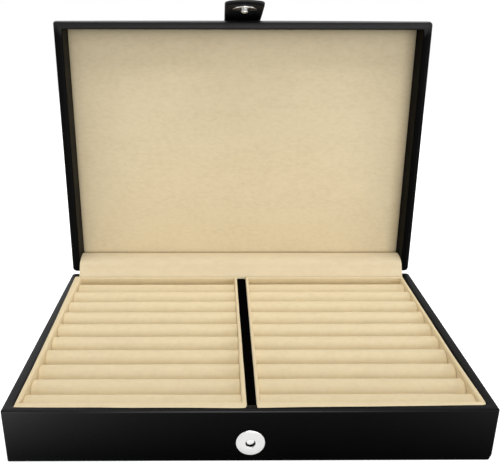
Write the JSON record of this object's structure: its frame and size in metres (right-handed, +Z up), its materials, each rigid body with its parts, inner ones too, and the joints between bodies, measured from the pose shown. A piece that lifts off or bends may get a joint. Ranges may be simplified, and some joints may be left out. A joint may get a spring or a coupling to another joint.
{
  "type": "ring display box",
  "caption": "Hinged-lid display box covered in black leatherette, with suede ring rolls in two trays beside a divider and a strap with a magnetic snap.",
  "frame": {"origin": "the middle of the underside, on the surface that the box stands on", "axes": "+X to the right seen from the front, +Y to the hinge side, +Z up"},
  "size_m": [0.3, 0.2493, 0.2657],
  "materials": {
    "board": "plain fibreboard",
    "leatherette": "fine-grained black leatherette, satin",
    "felt": "black flock felt, matte",
    "black_suede": "black suede paper, matte",
    "roll_suede": "beige suede, soft nap",
    "tray_suede": "beige suede, soft nap",
    "strip_suede": "beige suede, soft nap",
    "panel_suede": "beige suede, mottled nap",
    "card": "grey-beige card, matte",
    "magnet": "dark ferrite",
    "snap_nickel": "polished nickel",
    "snap_steel": "plain steel",
    "hinge_steel": "zinc-plated steel",
    "strap_outer_leather": "black grained leather",
    "strap_inner_leather": "dark smooth leather"
  },
  "bodies": {
    "base": {"base_felt": "felt", "base_bottom_board": "board", "base_front_board": "board", "base_back_board": "board", "base_left_board": "board", "base_right_board": "board", "base_leatherette": "leatherette", "base_floor_lining": "black_suede", "divider_board": "board", "divider_suede": "black_suede", "left_tray_card": "card", "left_tray_suede": "tray_suede", "right_tray_card": "card", "right_tray_suede": "tray_suede", "left_ring_roll_1": "roll_suede", "left_ring_roll_2": "roll_suede", "left_ring_roll_3": "roll_suede", "left_ring_roll_4": "roll_suede", "left_ring_roll_5": "roll_suede", "left_ring_roll_6": "roll_suede", "left_ring_roll_7": "roll_suede", "left_ring_roll_8": "roll_suede", "left_ring_roll_9": "roll_suede", "left_ring_roll_10": "roll_suede", "right_ring_roll_1": "roll_suede", "right_ring_roll_2": "roll_suede", "right_ring_roll_3": "roll_suede", "right_ring_roll_4": "roll_suede", "right_ring_roll_5": "roll_suede", "right_ring_roll_6": "roll_suede", "right_ring_roll_7": "roll_suede", "right_ring_roll_8": "roll_suede", "right_ring_roll_9": "roll_suede", "right_ring_roll_10": "roll_suede", "snap_socket_cap": "snap_nickel", "snap_magnet": "magnet", "snap_socket_back": "snap_steel", "base_hinge_leaves": "hinge_steel", "base_hinge_screws": "hinge_steel", "hinge_pins": "hinge_steel", "hinge_strip": "strip_suede"},
    "lid": {"lid_hinge_leaves": "hinge_steel", "lid_hinge_screws": "hinge_steel", "lid_front_board": "board", "lid_back_board": "board", "lid_left_board": "board", "lid_right_board": "board", "lid_top_board": "board", "lid_leatherette": "leatherette", "lid_panel_card": "card", "lid_panel_suede": "panel_suede", "strap_anchor_outer": "strap_outer_leather", "strap_anchor_inner": "strap_inner_leather"},
    "strap": {"strap_flap_outer": "strap_outer_leather", "strap_flap_inner": "strap_inner_leather", "snap_stud_plate": "snap_nickel", "snap_stud": "snap_nickel", "snap_stud_washer": "snap_steel"}
  },
  "joints": [
    {"name": "lid_hinge", "type": "hinge", "parent": "base", "child": "lid", "pos_m": [0, 0.1071, 0.0378], "axis": [1, 0, 0], "range_deg": [0, 91.93], "deforming": ["hinge_strip"]},
    {"name": "strap_flex", "type": "hinge", "parent": "lid", "child": "strap", "pos_m": [0, 0.141, 0.25098], "axis": [-1, 0, 0], "range_deg": [-7.4, 80], "stiffness_Nm_per_rad": 0.12, "springref_deg": 1.72}
  ]
}
